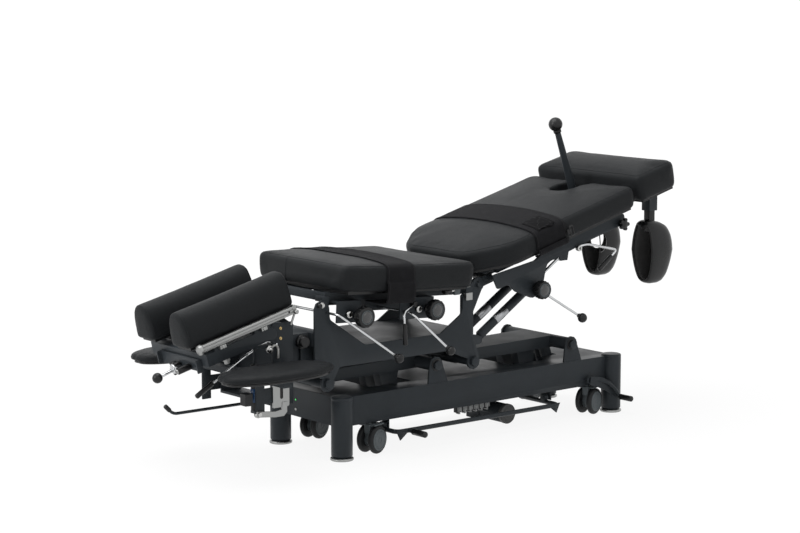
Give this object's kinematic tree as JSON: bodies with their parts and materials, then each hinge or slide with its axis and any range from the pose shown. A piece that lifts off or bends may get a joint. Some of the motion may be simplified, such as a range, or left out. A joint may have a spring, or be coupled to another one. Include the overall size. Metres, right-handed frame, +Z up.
{
  "type": "chiropractic table",
  "caption": "Electric lift chiropractic table with padded head, thoracic, lumbar, pelvic and foot sections, drop levers, arm rests and ankle cups.",
  "frame": {"origin": "on the floor, at the middle of the table's overall length and width", "axes": "+X towards the foot end, +Y towards the side without the levers, +Z up"},
  "size_m": [2.0684, 0.658, 1.0118],
  "materials": {
    "frame_paint": "fine-textured dark grey powder coat",
    "vinyl": "matte charcoal upholstery vinyl",
    "webbing": "woven black webbing",
    "black_plastic": "satin moulded black plastic",
    "chrome": "polished",
    "aluminium": "satin anodised",
    "castor_tyre": "matte rubber with grey side discs",
    "castor_grey": "moulded grey"
  },
  "bodies": {
    "base": {"base_cover": "frame_paint", "leg_head_near": "frame_paint", "leg_head_far": "frame_paint", "leg_foot_near": "frame_paint", "leg_foot_far": "frame_paint", "control_box": "black_plastic", "actuator_body": "frame_paint"},
    "castor_frame": {"castor_carriage": "frame_paint"},
    "castor_pedal": {"castor_pedal": "frame_paint"},
    "foot_bar": {"foot_bar": "frame_paint"},
    "actuator_rod": {"actuator_rod": "chrome"},
    "lift_arm_foot": {"lift_arm_foot": "frame_paint"},
    "lift_arm_head": {"lift_arm_head": "frame_paint"},
    "upper_frame": {"upper_frame": "frame_paint", "head_tower": "frame_paint", "middle_frame": "frame_paint", "middle_strap": "webbing"},
    "arm_rest": {"arm_rest_carriage": "frame_paint", "arm_rest_pad_near": "vinyl", "arm_rest_pad_far": "vinyl", "arm_rest_spring": "aluminium"},
    "arm_rest_handle": {"arm_rest_handle": "frame_paint"},
    "head_section": {"head_frame": "frame_paint", "head_rail": "aluminium", "head_crosshead": "aluminium"},
    "head_bolster_near": {"head_bolster_near": "vinyl"},
    "head_bolster_far": {"head_bolster_far": "vinyl"},
    "head_ball_lever": {"head_ball_lever": "chrome"},
    "head_release_lever": {"head_release_lever": "frame_paint"},
    "thoracic_section": {"thoracic_cushion": "vinyl"},
    "lumbar_section": {"lumbar_cushion": "vinyl"},
    "thoracic_lever": {"thoracic_lever": "chrome"},
    "lumbar_lever": {"lumbar_lever": "chrome"},
    "thoracic_knob": {"thoracic_knob": "black_plastic"},
    "lumbar_knob": {"lumbar_knob": "black_plastic"},
    "lumbar_release_lever": {"lumbar_release_lever": "chrome"},
    "pelvic_section": {"pelvic_frame": "frame_paint", "flexion_handle": "frame_paint"},
    "pelvic_drop": {"pelvic_cushion": "vinyl", "pelvic_strap": "webbing"},
    "pelvic_lever": {"pelvic_lever": "chrome"},
    "pelvic_knob": {"pelvic_knob": "black_plastic"},
    "pelvic_release_lever": {"pelvic_release_lever": "chrome"},
    "wing_knob": {"wing_knob": "black_plastic"},
    "strut_tube_near": {"strut_tube_near": "frame_paint"},
    "strut_tube_far": {"strut_tube_far": "frame_paint"},
    "strut_rod_near": {"strut_rod_near": "chrome"},
    "strut_rod_far": {"strut_rod_far": "chrome"},
    "foot_section": {"foot_carrier": "frame_paint", "foot_cushion": "vinyl"},
    "ankle_cup_near": {"ankle_cup_near": "black_plastic"},
    "ankle_cup_far": {"ankle_cup_far": "black_plastic"},
    "castor_swivel_head_near": {"castor_hood_head_near": "castor_grey"},
    "castor_roll_head_near": {"castor_wheels_head_near": "castor_tyre"},
    "castor_swivel_head_far": {"castor_hood_head_far": "castor_grey"},
    "castor_roll_head_far": {"castor_wheels_head_far": "castor_tyre"},
    "castor_swivel_foot_near": {"castor_hood_foot_near": "castor_grey"},
    "castor_roll_foot_near": {"castor_wheels_foot_near": "castor_tyre"},
    "castor_swivel_foot_far": {"castor_hood_foot_far": "castor_grey"},
    "castor_roll_foot_far": {"castor_wheels_foot_far": "castor_tyre"}
  },
  "joints": [
    {"name": "castor_drop", "type": "slide", "parent": "base", "child": "castor_frame", "axis": [0, 0, -1], "range_m": [0, 0.008]},
    {"name": "castor_pedal_press", "type": "hinge", "parent": "base", "child": "castor_pedal", "pos_m": [0.61508, -0.181, 0.127], "axis": [0, 1, 0], "range_deg": [0, 15]},
    {"name": "castor_swivel_head_near", "type": "hinge", "parent": "castor_frame", "child": "castor_swivel_head_near", "pos_m": [-0.32192, -0.15, 0.098], "axis": [0, 0, 1], "continuous": true},
    {"name": "castor_roll_head_near", "type": "hinge", "parent": "castor_swivel_head_near", "child": "castor_roll_head_near", "pos_m": [-0.31192, -0.15, 0.0475], "axis": [-0.2924, 0.9563, 0], "continuous": true},
    {"name": "castor_swivel_head_far", "type": "hinge", "parent": "castor_frame", "child": "castor_swivel_head_far", "pos_m": [-0.32892, 0.14, 0.098], "axis": [0, 0, 1], "continuous": true},
    {"name": "castor_roll_head_far", "type": "hinge", "parent": "castor_swivel_head_far", "child": "castor_roll_head_far", "pos_m": [-0.31892, 0.14, 0.0475], "axis": [-0.2924, 0.9563, 0], "continuous": true},
    {"name": "castor_swivel_foot_near", "type": "hinge", "parent": "castor_frame", "child": "castor_swivel_foot_near", "pos_m": [0.63308, -0.15, 0.098], "axis": [0, 0, 1], "continuous": true},
    {"name": "castor_roll_foot_near", "type": "hinge", "parent": "castor_swivel_foot_near", "child": "castor_roll_foot_near", "pos_m": [0.64308, -0.15, 0.0475], "axis": [-0.2924, 0.9563, 0], "continuous": true},
    {"name": "castor_swivel_foot_far", "type": "hinge", "parent": "castor_frame", "child": "castor_swivel_foot_far", "pos_m": [0.63308, 0.15, 0.098], "axis": [0, 0, 1], "continuous": true},
    {"name": "castor_roll_foot_far", "type": "hinge", "parent": "castor_swivel_foot_far", "child": "castor_roll_foot_far", "pos_m": [0.64308, 0.15, 0.0475], "axis": [-0.2924, 0.9563, 0], "continuous": true},
    {"name": "foot_bar_tilt", "type": "hinge", "parent": "base", "child": "foot_bar", "pos_m": [0.10208, -0.13, 0.08], "axis": [1, 0, 0], "range_deg": [-6, 6], "stiffness_Nm_per_rad": 40},
    {"name": "lift", "type": "hinge", "parent": "base", "child": "lift_arm_foot", "pos_m": [0.54508, 0, 0.256], "axis": [0, 1, 0], "range_deg": [0, 43]},
    {"name": "lift_head_arm", "type": "hinge", "parent": "base", "child": "lift_arm_head", "pos_m": [-0.05492, 0, 0.256], "axis": [0, 1, 0], "range_deg": [0, 43]},
    {"name": "lift_level", "type": "hinge", "parent": "lift_arm_foot", "child": "upper_frame", "pos_m": [0.10308, 0, 0.25], "axis": [0, 1, 0], "range_deg": [-43, 0]},
    {"name": "lift_drive", "type": "slide", "parent": "base", "child": "actuator_rod", "axis": [1, 0, 0], "range_m": [-0.076, 0]},
    {"name": "arm_rest_height", "type": "slide", "parent": "upper_frame", "child": "arm_rest", "axis": [0, 0, 1], "range_m": [-0.08, 0]},
    {"name": "arm_rest_handle_lift", "type": "hinge", "parent": "upper_frame", "child": "arm_rest_handle", "pos_m": [-0.68292, 0, 0.188], "axis": [0, 1, 0], "range_deg": [0, 10]},
    {"name": "head_tilt", "type": "hinge", "parent": "upper_frame", "child": "head_section", "pos_m": [-0.69892, 0, 0.425], "axis": [0, 1, 0], "range_deg": [0, 25]},
    {"name": "bolster_spread_near", "type": "slide", "parent": "head_section", "child": "head_bolster_near", "axis": [0, 1, 0], "range_m": [0, 0.04]},
    {"name": "bolster_spread_far", "type": "slide", "parent": "head_section", "child": "head_bolster_far", "axis": [0, -1, 0], "range_m": [0, 0.04]},
    {"name": "head_ball_lever_turn", "type": "hinge", "parent": "head_section", "child": "head_ball_lever", "pos_m": [-0.9437, 0, 0.33202], "axis": [0.9703, 0, 0.2419], "range_deg": [-45, 45]},
    {"name": "head_release_lever_lift", "type": "hinge", "parent": "upper_frame", "child": "head_release_lever", "pos_m": [-0.67692, -0.1, 0.392], "axis": [0, 1, 0], "range_deg": [0, 8]},
    {"name": "thoracic_drop", "type": "hinge", "parent": "upper_frame", "child": "thoracic_section", "pos_m": [-0.29577, 0, 0.51472], "axis": [0, 1, 0], "range_deg": [0, 2.5]},
    {"name": "lumbar_drop", "type": "hinge", "parent": "upper_frame", "child": "lumbar_section", "pos_m": [-0.2718, 0, 0.51333], "axis": [0, -1, 0], "range_deg": [0, 2.5]},
    {"name": "thoracic_lever_press", "type": "hinge", "parent": "upper_frame", "child": "thoracic_lever", "pos_m": [-0.50092, 0, 0.473], "axis": [0, 1, 0], "range_deg": [0, 30]},
    {"name": "lumbar_lever_press", "type": "hinge", "parent": "upper_frame", "child": "lumbar_lever", "pos_m": [-0.20992, 0, 0.449], "axis": [0, 1, 0], "range_deg": [0, 30]},
    {"name": "thoracic_knob_turn", "type": "hinge", "parent": "upper_frame", "child": "thoracic_knob", "pos_m": [-0.39992, -0.226, 0.457], "axis": [0, 1, 0], "continuous": true},
    {"name": "lumbar_knob_turn", "type": "hinge", "parent": "upper_frame", "child": "lumbar_knob", "pos_m": [-0.11392, -0.226, 0.45], "axis": [0, 1, 0], "continuous": true},
    {"name": "lumbar_release_pull", "type": "hinge", "parent": "upper_frame", "child": "lumbar_release_lever", "pos_m": [-0.17692, -0.196, 0.472], "axis": [0, 1, 0], "range_deg": [0, 15]},
    {"name": "pelvic_tilt", "type": "hinge", "parent": "upper_frame", "child": "pelvic_section", "pos_m": [0.12908, 0, 0.5], "axis": [0, 1, 0], "range_deg": [0, 20]},
    {"name": "pelvic_drop", "type": "hinge", "parent": "pelvic_section", "child": "pelvic_drop", "pos_m": [0.71993, 0, 0.69041], "axis": [0, 1, 0], "range_deg": [0, 1.5]},
    {"name": "pelvic_lever_press", "type": "hinge", "parent": "pelvic_section", "child": "pelvic_lever", "pos_m": [0.34808, -0.206, 0.469], "axis": [0, 1, 0], "range_deg": [0, 30]},
    {"name": "pelvic_knob_turn", "type": "hinge", "parent": "pelvic_section", "child": "pelvic_knob", "pos_m": [0.34808, -0.226, 0.469], "axis": [0, 1, 0], "continuous": true},
    {"name": "pelvic_release_pull", "type": "hinge", "parent": "pelvic_section", "child": "pelvic_release_lever", "pos_m": [0.53308, -0.206, 0.59], "axis": [0, 1, 0], "range_deg": [-12, 0]},
    {"name": "wing_knob_turn", "type": "hinge", "parent": "pelvic_section", "child": "wing_knob", "pos_m": [0.73408, -0.213, 0.656], "axis": [0, 1, 0], "continuous": true},
    {"name": "strut_swing_near", "type": "hinge", "parent": "upper_frame", "child": "strut_tube_near", "pos_m": [0.13408, -0.138, 0.316], "axis": [0, 1, 0], "range_deg": [0, 16.66]},
    {"name": "strut_stroke_near", "type": "slide", "parent": "strut_tube_near", "child": "strut_rod_near", "axis": [0.8438, 0, 0.5366], "range_m": [-0.0592, 0]},
    {"name": "strut_swing_far", "type": "hinge", "parent": "upper_frame", "child": "strut_tube_far", "pos_m": [0.13408, -0.052, 0.316], "axis": [0, 1, 0], "range_deg": [0, 16.66]},
    {"name": "strut_stroke_far", "type": "slide", "parent": "strut_tube_far", "child": "strut_rod_far", "axis": [0.8438, 0, 0.5366], "range_m": [-0.0592, 0]},
    {"name": "foot_slide", "type": "slide", "parent": "pelvic_section", "child": "foot_section", "axis": [0.9659, 0, 0.2588], "range_m": [0, 0.08]},
    {"name": "ankle_cup_height_near", "type": "slide", "parent": "foot_section", "child": "ankle_cup_near", "axis": [0, 0, 1], "range_m": [-0.04, 0]},
    {"name": "ankle_cup_height_far", "type": "slide", "parent": "foot_section", "child": "ankle_cup_far", "axis": [0, 0, 1], "range_m": [-0.04, 0]}
  ],
  "couplings": [
    {"joint": "castor_pedal_press", "follows": "castor_drop", "rad_per_m": 32.725},
    {"joint": "lift_head_arm", "follows": "lift", "ratio": 1},
    {"joint": "lift_level", "follows": "lift", "ratio": -1},
    {"joint": "lift_drive", "follows": "lift", "m_per_rad": -0.10127},
    {"joint": "bolster_spread_far", "follows": "bolster_spread_near", "ratio": 1},
    {"joint": "thoracic_lever_press", "follows": "thoracic_drop", "ratio": 12},
    {"joint": "lumbar_lever_press", "follows": "lumbar_drop", "ratio": 12},
    {"joint": "pelvic_lever_press", "follows": "pelvic_drop", "ratio": 20},
    {"joint": "strut_swing_near", "follows": "pelvic_tilt", "ratio": 0.83246},
    {"joint": "strut_stroke_near", "follows": "pelvic_tilt", "m_per_rad": -0.16918},
    {"joint": "strut_swing_far", "follows": "pelvic_tilt", "ratio": 0.83246},
    {"joint": "strut_stroke_far", "follows": "pelvic_tilt", "m_per_rad": -0.16918}
  ]
}
